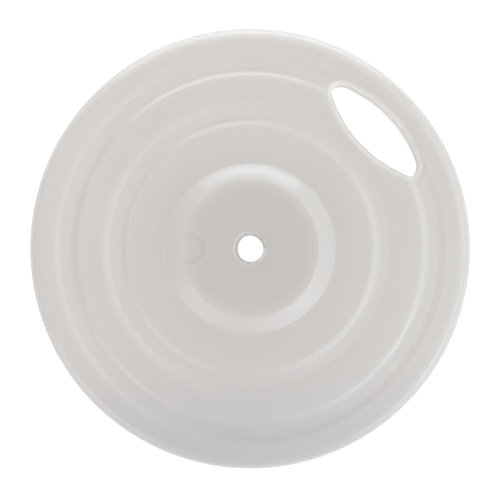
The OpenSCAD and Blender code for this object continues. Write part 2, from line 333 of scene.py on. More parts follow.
def without_repeats(outline):
    """The closed outline without points that fall on the one before."""
    gaps = np.linalg.norm(outline - np.roll(outline, 1, axis=0), axis=1)
    return outline[gaps > SAME_PLACE]


def section(corners, step):
    """A rounded, evenly divided outline that is ready to be turned."""
    return with_stops(without_repeats(rounded(corners, step)), LONGEST_RUN)


def round_angles(count, turns=1):
    """Angles of points that are spaced evenly over full turns."""
    return np.arange(count) * turns * math.tau / count


def turned(outline, turns, axis=(0, 0)):
    """Rings of points: each point of an outline (radius, height) turned round an upright axis."""
    outline = np.array(outline)
    angle = round_angles(turns)
    rings = np.empty((len(outline), turns, 3))
    rings[..., 0] = axis[0] + outline[:, None, 0] * np.cos(angle)
    rings[..., 1] = axis[1] + outline[:, None, 0] * np.sin(angle)
    rings[..., 2] = outline[:, None, 1]
    return rings


def groove_corners(plate, middle, outer_height, inner_height, outer_round):
    """Corners of one ring groove, from its outer shoulder to its inner one."""
    floor = outer_height - plate.groove_depth
    half = plate.groove_floor / 2
    outer_run = plate.groove_depth / math.tan(plate.outer_slope)
    inner_run = (inner_height - floor) / math.tan(plate.inner_slope)
    return [
        (middle + half + outer_run, outer_height, outer_round),
        (middle + half, floor, plate.outer_foot),
        (middle - half, floor, plate.inner_foot),
        (middle - half - inner_run, inner_height, plate.shoulder_round),
    ]


def plate_corners(plate):
    """Corners (radius, height, rounding) of the plate's section, once round from under the pole hole."""
    outer_groove = plate.radius - plate.groove_inset
    inner_groove = outer_groove - plate.groove_spacing
    middle_height = plate.rim_height + plate.ring_rise
    inner_height = middle_height + plate.ring_rise
    ceiling_radius = plate.boss_foot_radius + plate.recess_margin
    seat_depth = SEAT_HEIGHT - plate.recess_depth
    return [
        (plate.pole_radius, SEAT_HEIGHT, plate.pole_under),
        (plate.seat_radius, SEAT_HEIGHT, plate.seat_round),
        (plate.seat_radius + seat_depth, plate.recess_depth, plate.seat_round),
        (ceiling_radius, plate.recess_depth, plate.ceiling_round),
        (ceiling_radius + plate.recess_splay, 0, plate.mouth_round),
        (plate.radius, 0, plate.rim_foot_round),
        (plate.radius, plate.rim_height, plate.rim_top_round),
        *groove_corners(plate, outer_groove, plate.rim_height, middle_height, plate.outer_round),
        *groove_corners(plate, inner_groove, middle_height, inner_height, plate.middle_round),
        (plate.boss_foot_radius, inner_height, plate.boss_foot_round),
        (plate.boss_top_radius, plate.boss_height, plate.boss_top_round),
        (plate.pole_radius + plate.pole_lip, plate.boss_height, plate.lip_round),
        (plate.pole_radius, plate.boss_height - plate.lip_depth, plate.lip_round),
    ]


def upper_height(corners, plate):
    """A function that gives the height of a skin's upper side at a radius."""
    outline = rounded(corners, FINE_STEP)
    upper = outline[(outline[:, 1] > plate.recess_depth) & (outline[:, 0] > plate.boss_foot_radius)]
    upper = upper[np.argsort(upper[:, 0])]
    return lambda radius: np.interp(radius, upper[:, 0], upper[:, 1])


def slot_arcs(slot):
    """The hand slot's outline as arcs, counter-clockwise.

    Each is (x, y, radius, steps), its first and last angle, and -1 where x is to be mirrored or else 1.
    """
    arcs = []
    for side, end in ((-1, slot.inner_end), (1, slot.outer_end)):
        end_x = slot.length / 2 - end
        reach = slot.width / 2 + side * slot.tip_shift
        flat = (end_x ** 2 + reach ** 2 - end ** 2) / (2 * (reach - end))
        flat_y = side * (slot.width / 2 - flat)
        lean = math.atan2(flat - reach, end_x)
        tip = (end_x, -slot.tip_shift, end, SLOT_END_STEPS)
        arcs.append((tip, (0, flat_y, flat, SLOT_SIDE_STEPS), lean))
    (low_tip, low_side, low_lean), (high_tip, high_side, high_lean) = arcs
    turn = math.pi
    return [
        (low_tip, -low_lean, 0, 1),
        (high_tip, 0, high_lean, 1),
        (high_side, high_lean, turn - high_lean, 1),
        (high_tip, turn - high_lean, turn, -1),
        (low_tip, turn, turn + low_lean, -1),
        (low_side, turn + low_lean, 2 * turn - low_lean, 1),
    ]


def slot_loop(slot, grow, height):
    """The hand slot's outline grown by a distance, or by one for each point, at the heights of a function."""
    places, ways = [], []
    for (x, y, radius, steps), start, stop, flip in slot_arcs(slot):
        angle = np.linspace(start, stop, steps, endpoint=False)
        ways.append(np.stack([np.cos(angle), np.sin(angle)], axis=1))
        places.append(np.array([flip * x, y + SHELL_HIGH.y - slot.inset]) + radius * ways[-1])
    plan = np.concatenate(places) + np.reshape(grow, (-1, 1)) * np.concatenate(ways)
    heights = height(np.hypot(plan[:, 0], plan[:, 1]))
    return np.column_stack([plan, np.broadcast_to(heights, len(plan))])


def level(height):
    """A height function that is the same everywhere."""
    return lambda radius: np.full_like(radius, height)


# Meshes


class Skin:
    """Points and faces of a mesh, gathered part by part."""

    def __init__(self):
        self.points = np.empty((0, 3))
        self.faces = []

    def add(self, points):
        """Takes points in and returns their numbers in the same layout."""
        first = len(self.points)
        self.points = np.concatenate([self.points, np.reshape(points, (-1, 3))])
        return np.arange(first, len(self.points)).reshape(np.shape(points)[:-1])

    def bands(self, rings, inward=False, closed=False, gaps=()):
        """Faces between neighbouring rings, without the cells that lie in a gap."""
        after = np.roll(rings, -1, axis=0)
        beside = np.roll(rings, -1, axis=1)
        corner = np.roll(after, -1, axis=1)
        for row in range(len(rings) if closed else len(rings) - 1):
            for col in range(rings.shape[1]):
                if any(top <= row < low and left <= col < right for top, low, left, right in gaps):
                    continue
                face = (rings[row, col], beside[row, col], corner[row, col], after[row, col])
                self.faces.append(face[::-1] if inward else face)

    def cap(self, ring, downward=False):
        """Closes a ring with a fan about its middle."""
        middle = self.add(self.points[ring].mean(axis=0)[None])[0]
        for here, there in zip(ring, np.roll(ring, -1)):
            self.faces.append((there, here, middle) if downward else (here, there, middle))

    def patch(self, rings, gap, loop, upward):
        """Triangles between the cells around a gap and a loop of points inside it."""
        top, low, left, right = gap
        rim = self.points[loop][:, :2]
        field = rings[top:low + 1, left:right + 1].ravel()
        far = [n for n in field if outside(rim, self.points[n, :2])]
        numbers = np.concatenate([far, loop])
        plan = self.points[numbers][:, :2]
        middle = math.atan2(*rim.mean(axis=0)[::-1])
        angle = (np.arctan2(plan[:, 1], plan[:, 0]) - middle + math.pi) % math.tau - math.pi
        radius = np.hypot(plan[:, 0], plan[:, 1])
        flat = np.column_stack([angle * radius.mean(), radius]) / MM
        ends = len(far) + np.arange(len(loop))
        edges = list(zip(ends.tolist(), np.roll(ends, -1).tolist()))
        places = [Vector(place) for place in flat]
        _, _, triangles, sources, _, _ = delaunay_2d_cdt(places, edges, [], 0, NO_LENGTH)
        for triangle in triangles:
            face = [numbers[sources[corner][0]] for corner in triangle]
            a, b, c = self.points[face][:, :2]
            area = cross(b - a, c - a)
            if abs(area) > SLIVER and not within(rim, (a + b + c) / 3):
                self.faces.append(tuple(face if (area > 0) == upward else face[::-1]))

    def mesh(self, name):
        """The finished mesh, shaded smooth."""
        mesh = bpy.data.meshes.new(name)
        mesh.from_pydata(self.points.tolist(), [], [tuple(int(n) for n in face) for face in self.faces])
        mesh.validate()
        mesh.shade_smooth()
        return mesh


def within(rim, point):
    """Whether a point lies inside a convex loop that runs counter-clockwise."""
    return bool((cross(np.roll(rim, -1, axis=0) - rim, point - rim) > 0).all())


def outside(rim, point):
    """Whether a point lies well outside a convex loop."""
    return not within(rim, point) and np.linalg.norm(rim - point, axis=1).min() > PATCH_CLEARANCE


def gap_in(outline, turns, reach, heights, middle, spread):
    """First and last row and column of the cells that a window leaves out of a turned skin."""
    held = (outline[:, 0] > reach[0]) & (outline[:, 0] < reach[1])
    held &= (outline[:, 1] > heights[0]) & (outline[:, 1] < heights[1])
    rows = np.flatnonzero(held)
    columns = [round((middle + side * spread) % math.tau / math.tau * turns) for side in (-1, 1)]
    return rows[0], rows[-1], columns[0], columns[1]


def piece(name, meshes, material, sharp=60):
    """One object made of closed meshes, with its place in its mesh."""
    joined = bmesh.new()
    for mesh in meshes:
        joined.from_mesh(mesh)
        bpy.data.meshes.remove(mesh)
    mesh = bpy.data.meshes.new(name)
    joined.to_mesh(mesh)
    joined.free()
    mesh.shade_smooth()
    mesh.set_sharp_from_angle(angle=math.radians(sharp))
    mesh.materials.clear()
    mesh.materials.append(material)
    made = bpy.data.objects.new(name, mesh)
    bpy.context.scene.collection.objects.link(made)
    return made


# Node trees


def add_node(tree, kind, inputs=(), **settings):
    """Adds a node with its settings.

    An input takes a value, a socket to link, or a node whose first socket in use is linked.
    """
    node = tree.nodes.new(kind)
    for key, value in settings.items():
        setattr(node, key, value)
    for key, value in dict(inputs).items():
        if isinstance(value, bpy.types.Node):
            value = next(socket for socket in value.outputs if socket.enabled)
        if isinstance(value, bpy.types.NodeSocket):
            tree.links.new(value, node.inputs[key])
        else:
            node.inputs[key].default_value = value
    return node


def shape_tree(name, inputs):
    """An empty geometry tree with named inputs, and the sockets that give them."""
    tree = bpy.data.node_groups.new(name, "GeometryNodeTree")
    for label, kind in inputs:
        tree.interface.new_socket(label, in_out="INPUT", socket_type=f"NodeSocket{kind}")
    tree.interface.new_socket("Geometry", in_out="OUTPUT", socket_type="NodeSocketGeometry")
    return tree, add_node(tree, "NodeGroupInput").outputs


def end_tree(tree, geometry, material):
    """Ends a geometry tree with real geometry that has its material."""
    real = add_node(tree, "GeometryNodeRealizeInstances", {0: geometry})
    dressed = add_node(tree, "GeometryNodeSetMaterial", {"Geometry": real, "Material": material})
    add_node(tree, "NodeGroupOutput", {0: dressed})


def ridge_tree():
    """A thread's ridge: a trapezoid swept up a helix, thinning out at both ends."""
    labels = ("Radius", "Rise", "Turns", "Depth", "Sunk", "Root", "Tip", "Facing", "Run-out")
    sockets = [*((label, "Float") for label in labels), ("Material", "Material")]
    tree, size = shape_tree("thread_ridge", sockets)
    helix = add_node(tree, "GeometryNodeCurveSpiral", {
        "Resolution": FILLER_TURNS, "Rotations": size["Turns"], "Height": size["Rise"],
        "Start Radius": size["Radius"], "End Radius": size["Radius"], "Reverse": True,
    })
    along = add_node(tree, "GeometryNodeSplineParameter").outputs["Factor"]
    back = add_node(tree, "ShaderNodeMath", {0: 1.0, 1: along}, operation="SUBTRACT")
    nearest = add_node(tree, "ShaderNodeMath", {0: along, 1: back}, operation="MINIMUM")
    swell = add_node(tree, "ShaderNodeMapRange", {"Value": nearest, "From Max": size["Run-out"]},
                     interpolation_type="SMOOTHSTEP")
    thinned = add_node(tree, "GeometryNodeSetCurveRadius", {"Curve": helix, "Radius": swell})
    upright = add_node(tree, "GeometryNodeSetCurveNormal", {"Curve": thinned}, mode="Z_UP")
    height = add_node(tree, "ShaderNodeMath", {0: size["Depth"], 1: size["Sunk"]}, operation="ADD")
    form = add_node(tree, "GeometryNodeCurvePrimitiveQuadrilateral", {
        "Height": height, "Bottom Width": size["Root"], "Top Width": size["Tip"], "Offset": 0.0,
    }, mode="TRAPEZOID")
    lift = add_node(tree, "ShaderNodeMath", {0: size["Depth"], 1: size["Sunk"]}, operation="SUBTRACT")
    half = add_node(tree, "ShaderNodeMath", {0: lift, 1: 0.5}, operation="MULTIPLY")
    shift = add_node(tree, "ShaderNodeCombineXYZ", {"Y": half})
    proud = add_node(tree, "GeometryNodeTransform", {"Geometry": form, "Translation": shift})
    spin = add_node(tree, "ShaderNodeCombineXYZ", {"Z": size["Facing"]})
    faced = add_node(tree, "GeometryNodeTransform", {"Geometry": proud, "Rotation": spin})
    swept = add_node(tree, "GeometryNodeCurveToMesh", {
        "Curve": upright, "Profile Curve": faced, "Scale": swell, "Fill Caps": True,
    })
    end_tree(tree, swept, size["Material"])
    return tree


def seam_tree():
    """The mould seam's bead: a small circle swept along a path of edges."""
    sockets = [("Path", "Geometry"), ("Bead", "Float"), ("Material", "Material")]
    tree, given = shape_tree("mould_seam", sockets)
    path = add_node(tree, "GeometryNodeMeshToCurve", {"Mesh": given["Path"]})
    form = add_node(tree, "GeometryNodeCurvePrimitiveCircle",
                    {"Resolution": SEAM_SIDES, "Radius": given["Bead"]})
    swept = add_node(tree, "GeometryNodeCurveToMesh", {"Curve": path, "Profile Curve": form})
    end_tree(tree, swept, given["Material"])
    return tree


def grown(tree, values, path=None):
    """The plain mesh that a geometry tree makes, from a closed path of points if it needs one."""
    mesh = bpy.data.meshes.new(tree.name)
    if path is not None:
        edges = [(k, (k + 1) % len(path)) for k in range(len(path))]
        mesh.from_pydata(path.tolist(), edges, [])
    carrier = bpy.data.objects.new(tree.name, mesh)
    bpy.context.scene.collection.objects.link(carrier)
    modifier = carrier.modifiers.new(tree.name, "NODES")
    modifier.node_group = tree
    for item in tree.interface.items_tree:
        if item.in_out == "INPUT" and item.name in values:
            modifier[item.identifier] = values[item.name]
    depsgraph = bpy.context.evaluated_depsgraph_get()
    made = bpy.data.meshes.new_from_object(carrier.evaluated_get(depsgraph))
    carrier.modifiers.remove(modifier)
    bpy.data.objects.remove(carrier)
    return made


def outward(mesh):
    """The mesh with its doubles merged and its faces turned outwards."""
    work = bmesh.new()
    work.from_mesh(mesh)
    bmesh.ops.remove_doubles(work, verts=work.verts, dist=SAME_PLACE)
    bmesh.ops.recalc_face_normals(work, faces=work.faces)
    work.to_mesh(mesh)
    work.free()
    return mesh


# Materials

# Burnt grains in the plate's upper side
SPECKS = (
    (-81.1 * MM, -129.6 * MM, 38 * MM),
    (65.6 * MM, -126.8 * MM, 38 * MM),
    (-56.2 * MM, 76.5 * MM, 40 * MM),
)
SPECK_RADIUS = 0.7 * MM
SPECK_CORE = 0.4 * SPECK_RADIUS
# How far the bands of painted light lie outside the middles of the grooves, and how far from their middles
# they start and end to fade, as shares of a groove's floor
BAND_LIGHT_SHIFT = 4 * MM
BAND_LIGHT_FADE = (0.4, 1.3)
# Direction of the picture's lower side in plan, where painted shade darkens the plate
LOWER_SIDE_WAY = (0.727, -0.687, 0)
# Where the painted shade starts and where it is full: shares of the plate's radius along that direction, and
# seam beads inside the rim
LOWER_SIDE_SPAN = (0.5, 0.95)
RIM_SHADE_BEADS = (8, 3)
# Where the painted shade on the boss's top begins and ends, as shares of its radius
BOSS_SHADE_SPAN = (0.75, 1.08)
# How strong the socket's painted shadow and light rings are on the plate and on the boss's top
SOCKET_SHADOW_STRENGTH = (0.08, 0.14)
# The socket's painted shadow and light rings on the boss: shares of its neck's radius, and how light the
# paint is there
SOCKET_SHADOW_RAMP = ((0.0, 0.62), (0.52, 0.62), (0.76, 0.3), (0.9, 0.42), (1.03, 0.66), (1.16, 0.5), (1.3, 0.5))


def new_material(name):
    """A material whose node tree is still empty, and that tree."""
    material = bpy.data.materials.new(name)
    material.use_nodes = True
    material.node_tree.nodes.clear()
    return material, material.node_tree


def milky_polyethylene(colours, plate, filler):
    """Natural high-density polyethylene, blow-moulded without pigment.

    Light soaks in a few millimetres, so the wall looks milky and its shades are soft. Painted light makes it
    paler in bands at the grooves and on the boss's side; painted shade makes it greyer at the rim's edge, on
    the picture's lower side and on the boss's top, where a painted shadow of the socket lies with painted
    light rings. The blasted mould leaves a fine satin grain, and burnt grains leave specks. Trimmed edges are
    matt and carry painted light, with painted shade at the pole hole's very edge and on the slot's side
    towards the pole, and the floor scuffs the foot.
    """
    material, tree = new_material("blow_moulded_polyethylene")
    place = add_node(tree, "ShaderNodeTexCoord").outputs["Object"]
    plan = add_node(tree, "ShaderNodeVectorMath", {0: place, 1: (1, 1, 0)}, operation="MULTIPLY")
    away = add_node(tree, "ShaderNodeVectorMath", {0: plan}, operation="LENGTH")
    # Widths of each noise's patches in millimetres, and its detail. The last is the mould's grain, which is
    # about 0.3 mm wide; it is drawn 1.4 mm wide so that it shows from 1.8 m.
    clouds, light_patches, rubs, sheen, shrunk, blasted = (
        add_node(tree, "ShaderNodeTexNoise", {"Vector": place, "Scale": 1 / (width * MM), "Detail": detail})
        for width, detail in ((70, 2.0), (6, 2.0), (5, 6.0), (45, 2.0), (40, 1.0), (1.4, 1.0))
    )

    # Layers of colour from the lowest up: share, colour and the way it blends
    layers = [(clouds, colours.plate_cloud, "MIX")]
    # Bands of painted light at the grooves and on the boss's side
    outer_groove = plate.radius - plate.groove_inset + BAND_LIGHT_SHIFT
    boss_side = (plate.boss_top_radius + plate.boss_foot_radius) / 2
    for middle in (outer_groove, outer_groove - plate.groove_spacing, boss_side):
        beside = add_node(tree, "ShaderNodeMath", {0: away, 1: middle}, operation="SUBTRACT")
        beside = add_node(tree, "ShaderNodeMath", {0: beside}, operation="ABSOLUTE")
        brightened = add_node(tree, "ShaderNodeMapRange", {
            "Value": beside, "From Min": BAND_LIGHT_FADE[0] * plate.groove_floor,
            "From Max": BAND_LIGHT_FADE[1] * plate.groove_floor, "To Min": 1.0, "To Max": 0.0,
        }, interpolation_type="SMOOTHSTEP")
        layers.append((brightened, colours.brightened, "MIX"))
    # Painted shade on the boss's top
    darkened = add_node(tree, "ShaderNodeMapRange", {
        "Value": away, "From Min": BOSS_SHADE_SPAN[0] * plate.boss_top_radius,
        "From Max": BOSS_SHADE_SPAN[1] * plate.boss_top_radius, "To Min": 1.0, "To Max": 0.0,
    }, interpolation_type="SMOOTHSTEP")
    layers.append((darkened, colours.boss, "MIX"))

    # Painted shade towards the picture's lower side and along the rim's edge
    aside = add_node(tree, "ShaderNodeVectorMath", {0: plan, 1: LOWER_SIDE_WAY}, operation="DOT_PRODUCT")
    lower_side_shade, rim_shade = (
        add_node(tree, "ShaderNodeMapRange", {"Value": value, "From Min": full, "From Max": shaded},
                 interpolation_type="SMOOTHSTEP")
        for value, (full, shaded) in (
            (aside, [share * plate.radius for share in LOWER_SIDE_SPAN]),
            (away, [plate.radius - beads * plate.seam for beads in RIM_SHADE_BEADS]),
        )
    )
    shaded = add_node(tree, "ShaderNodeMath", {0: lower_side_shade, 1: rim_shade}, operation="MAXIMUM")
    layers.append((shaded, colours.shaded, "MIX"))

    # Painted shadow of the socket under the boss's top, with painted light rings beside it
    reach = SOCKET_SHADOW_RAMP[-1][0]
    off_axis = add_node(tree, "ShaderNodeVectorMath", {0: plan, 1: (*FILLER.xy, 0)}, operation="DISTANCE")
    outer = reach * filler.socket_radius
    share = add_node(tree, "ShaderNodeMapRange", {"Value": off_axis, "From Max": outer})
    socket = add_node(tree, "ShaderNodeValToRGB", {"Fac": share})
    stops = socket.color_ramp.elements
    stops.remove(stops[1])
    for radius, shade in SOCKET_SHADOW_RAMP:
        stop = stops[0] if radius == 0 else stops.new(radius / reach)
        stop.color = (shade, shade, shade, 1)
    clear = add_node(tree, "ShaderNodeMapRange", {
        "Value": darkened, "To Min": SOCKET_SHADOW_STRENGTH[0], "To Max": SOCKET_SHADOW_STRENGTH[1],
    })
    layers.append((clear, socket, "OVERLAY"))

    # Painted light and painted shade on the trimmed edges, read from their attribute
    edge = add_node(tree, "ShaderNodeAttribute", attribute_name=EDGE_LIGHT_AND_SHADE).outputs["Fac"]
    uneven = add_node(tree, "ShaderNodeMapRange", {
        "Value": light_patches, "From Min": 0.3, "From Max": 0.7, "To Min": 0.6,
    })
    white = add_node(tree, "ShaderNodeMapRange", {"Value": edge})
    whitened = add_node(tree, "ShaderNodeMath", {0: white, 1: uneven}, operation="MULTIPLY")
    edge_shade = add_node(tree, "ShaderNodeMapRange", {"Value": edge, "From Max": -1.0, "To Max": 0.8})
    layers += [(whitened, colours.trimmed, "MIX"), (edge_shade, colours.scuff_and_edge_shade, "MIX")]

    for middle in SPECKS:
        near = add_node(tree, "ShaderNodeVectorMath", {0: place, 1: middle}, operation="DISTANCE")
        grain = add_node(tree, "ShaderNodeMapRange", {
            "Value": near, "From Min": SPECK_CORE, "From Max": SPECK_RADIUS, "To Min": 1.0, "To Max": 0.0,
        })
        layers.append((grain, colours.speck, "MIX"))

    height = add_node(tree, "ShaderNodeSeparateXYZ", {0: place}).outputs["Z"]
    low = add_node(tree, "ShaderNodeMapRange", {
        "Value": height, "From Min": 0.1 * MM, "From Max": 1.5 * MM, "To Min": 1.0, "To Max": 0.0,
    })
    rubs_and_shade = add_node(tree, "ShaderNodeMapRange", {
        "Value": rubs, "From Min": 0.45, "From Max": 0.7, "To Max": 0.8,
    })
    scuffed = add_node(tree, "ShaderNodeMath", {0: low, 1: rubs_and_shade}, operation="MULTIPLY")
    layers.append((scuffed, colours.scuff_and_edge_shade, "MIX"))

    colour = colours.plate
    for share, over, blend in layers:
        colour = add_node(tree, "ShaderNodeMix", {0: share, 6: colour, 7: over}, data_type="RGBA",
                          blend_type=blend)

    gloss = add_node(tree, "ShaderNodeMapRange", {"Value": sheen, "To Min": 0.12, "To Max": 0.17})
    gloss = add_node(tree, "ShaderNodeMath", {0: scuffed, 1: 0.3, 2: gloss}, operation="MULTIPLY_ADD")
    cut = add_node(tree, "ShaderNodeMath", {0: edge}, operation="ABSOLUTE")
    matt = add_node(tree, "ShaderNodeMapRange", {"Value": cut, "From Max": 0.2, "To Max": 0.45})
    gloss = add_node(tree, "ShaderNodeMath", {0: gloss, 1: matt}, operation="ADD")
    fine = add_node(tree, "ShaderNodeBump", {"Height": blasted, "Distance": 0.03 * MM, "Strength": 0.2})
    relief = add_node(tree, "ShaderNodeBump", {
        "Height": shrunk, "Distance": 0.15 * MM, "Strength": 0.2, "Normal": fine,
    })
    shader = add_node(tree, "ShaderNodeBsdfPrincipled", {
        "Base Color": colour, "Roughness": gloss, "Normal": relief, "IOR": 1.54, "Subsurface Weight": 0.2,
        "Subsurface Radius": (1.0, 0.96, 0.9), "Subsurface Scale": 2.5 * MM,
    })
    add_node(tree, "ShaderNodeOutputMaterial", {"Surface": shader})
    return material


def moulded_polyethylene(name, colour, cloud):
    """Injection-moulded polyethylene: whiter and denser than the plate, with a soft, even satin gloss."""
    material, tree = new_material(name)
    place = add_node(tree, "ShaderNodeTexCoord").outputs["Object"]
    flow = add_node(tree, "ShaderNodeTexNoise", {"Vector": place, "Scale": 1 / (6 * MM)})
    colour = add_node(tree, "ShaderNodeMix", {0: flow, 6: colour, 7: cloud}, data_type="RGBA")
    sheen = add_node(tree, "ShaderNodeTexNoise", {"Vector": place, "Scale": 1 / (2 * MM)})
    gloss = add_node(tree, "ShaderNodeMapRange", {"Value": sheen, "To Min": 0.27, "To Max": 0.45})
    # The tool's grain is about 0.1 mm wide; it is drawn 0.6 mm wide so that it shows
    grain = add_node(tree, "ShaderNodeTexNoise", {"Vector": place, "Scale": 1 / (0.6 * MM)})
    relief = add_node(tree, "ShaderNodeBump", {"Height": grain, "Distance": 0.03 * MM, "Strength": 0.3})
    shader = add_node(tree, "ShaderNodeBsdfPrincipled", {
        "Base Color": colour, "Roughness": gloss, "Normal": relief, "IOR": 1.52, "Subsurface Weight": 0.15,
        "Subsurface Radius": (1.0, 0.96, 0.9), "Subsurface Scale": 1.5 * MM,
    })
    add_node(tree, "ShaderNodeOutputMaterial", {"Surface": shader})
    return material


def moulded_rubber(colours):
    """Moulded rubber: dark, dull, and dusted with a little bloom from the mould's release powder."""
    material, tree = new_material("moulded_rubber")
    place = add_node(tree, "ShaderNodeTexCoord").outputs["Object"]
    dust = add_node(tree, "ShaderNodeTexNoise", {"Vector": place, "Scale": 1 / (3 * MM), "Detail": 4.0})
    bloom = add_node(tree, "ShaderNodeMapRange", {
        "Value": dust, "From Min": 0.4, "From Max": 0.8, "To Max": 0.12,
    })
    colour = add_node(tree, "ShaderNodeMix", {0: bloom, 6: colours.washer, 7: colours.plate},
                      data_type="RGBA")
    gloss = add_node(tree, "ShaderNodeMapRange", {"Value": dust, "To Min": 0.55, "To Max": 0.85})
    grain = add_node(tree, "ShaderNodeTexNoise", {"Vector": place, "Scale": 1 / (0.4 * MM)})
    relief = add_node(tree, "ShaderNodeBump", {"Height": grain, "Distance": 0.04 * MM, "Strength": 0.4})
    shader = add_node(tree, "ShaderNodeBsdfPrincipled", {
        "Base Color": colour, "Roughness": gloss, "Normal": relief, "IOR": 1.52,
    })
    add_node(tree, "ShaderNodeOutputMaterial", {"Surface": shader})
    return material


# Pieces and their operators

# Waves of an edge that was trimmed by hand: how often they come round it, their share and where they start
TRIM_WAVES = ((2, 1, 2.2), (3, 0.8, 0), (11, 0.5, 1))
# How many times as often they come round the slot, whose edge is longer
SLOT_TRIM_TURNS = 5
# Direction in which the pole hole's trimmed edge lies off the axis
TRIM_WAY = 0.29
# Height over the nut seat at which the pole hole's edge counts in full
HOLE_FADE = 9 * MM
# The pole hole's edge, from its nearness: painted light on the bevel, and painted shade at its very edge
HOLE_LIGHT_AND_SHADE = ((0, 0), (0.4, 0.85), (0.78, 0.85), (0.95, -1))
# Waves of the cooled upper skin, along x, y and between them: how long they are and where they start
SAG_WAVES = ((17 * MM, 0.6), (21 * MM, 1.1), (29 * MM, 2.3))
# How far over the recess and inside the rim the sag counts in full
SAG_RISE = 8 * MM
SAG_INSET = 9 * MM
# The slot's edge, by rows from the top: how fast the painted light comes, and how much less towards the pole;
# how much painted shade lies there, how many rows before the lip's end that starts, and how many rows it
# takes; and over how many rows all of it ends at the foot
SLOT_LIGHT = 1.6
SLOT_INNER_LIGHT_DROP = 0.5
SLOT_INNER_SHADE = 1.5
SLOT_SHADE_LEAD = 4
SLOT_SHADE_ROWS = 2
SLOT_END_ROWS = 4
# Share of the slot's width over which its side towards the pole begins
SLOT_INNER_SIDE = 0.2


def trimmed(angle, wander):
    """How far an edge that was trimmed by hand wanders at an angle round it."""
    return wander * sum(share * np.sin(often * angle + start) for often, share, start in TRIM_WAVES)


def hole_edge(points, plate):
    """How near points lie to the pole hole's upper edge, from 0 to 1."""
    x, y, z = points.T
    across = np.clip(1 - (np.hypot(x, y) - plate.pole_radius) / plate.pole_lip, 0, 1)
    return across * np.clip((z - SEAT_HEIGHT) / HOLE_FADE, 0, 1)


def waved(points, plate):
    """The outer skin as it comes out of the mould: the upper side sags a little, the hole's edge wanders."""
    x, y, z = points.T
    radius = np.hypot(x, y)
    angle = np.arctan2(y, x)
    upper = np.clip((z - plate.recess_depth) / SAG_RISE, 0, 1)
    upper *= np.clip((plate.radius - radius) / SAG_INSET, 0, 1)
    upper *= np.clip((radius - 2 * plate.pole_radius) / plate.pole_radius, 0, 1)
    along_x, along_y, between = (
        np.sin(way / size + start) for way, (size, start) in zip((x, y, x + y), SAG_WAVES)
    )
    shift = plate.trim_shift * np.cos(angle - TRIM_WAY) - plate.trim_burr
    wander = hole_edge(points, plate) * (trimmed(angle, plate.trim_wander) + shift)
    moved = points.copy()
    moved[:, 0] += wander * np.cos(angle)
    moved[:, 1] += wander * np.sin(angle)
    moved[:, 2] += plate.sag * upper * (along_x * along_y + between) / 2
    return moved


def slot_rows(plate, slot, top):
    """The slot's tunnel in rows of points: upper lip, wall and lower lip.

    The lips' points lie closer together at the two edges of their flat bevel.
    """
    count = 4 * SLOT_END_STEPS + 2 * SLOT_SIDE_STEPS
    wander = trimmed(round_angles(count, SLOT_TRIM_TURNS), plate.trim_wander / 2)
    swing = np.linspace(1, 0, LIP_STEPS) * math.pi / 2
    grow = slot.lip_width * (1 - np.cos(swing) ** 2)
    sink = slot.lip_depth * (1 - np.sin(swing) ** 2)
    loops = [(g + wander * (1 - g / slot.lip_width), s) for g, s in zip(grow, sink)]
    lips = [slot_loop(slot, g, lambda radius, s=s: top(radius) - s) for g, s in loops]
    soles = [slot_loop(slot, g, level(s)) for g, s in loops[::-1]]
    walls = [lips[-1] + (soles[0] - lips[-1]) * k / TUNNEL_STEPS for k in range(1, TUNNEL_STEPS)]
    return np.stack([*lips, *walls, *soles])


def slot_edge_light_and_shade(rows, slot):
    """The edge attribute over the slot's rows: painted light on the lips and wall, and painted shade towards
    the pole.
    """
    middle = SHELL_HIGH.y - slot.inset - slot.tip_shift
    inner = np.clip((middle - rows[LIP_STEPS - 1, :, 1]) / (SLOT_INNER_SIDE * slot.width), 0, 1)
    row = np.arange(len(rows))[:, None]
    white = np.clip(SLOT_LIGHT * row / LIP_STEPS, 0, 1) * (1 - SLOT_INNER_LIGHT_DROP * inner)
    rubs_and_shade = SLOT_INNER_SHADE * inner * np.clip((row - LIP_STEPS + SLOT_SHADE_LEAD) / SLOT_SHADE_ROWS, 0, 1)
    return (white - rubs_and_shade) * np.clip((len(rows) - LIP_STEPS / 2 - row) / SLOT_END_ROWS, 0, 1)


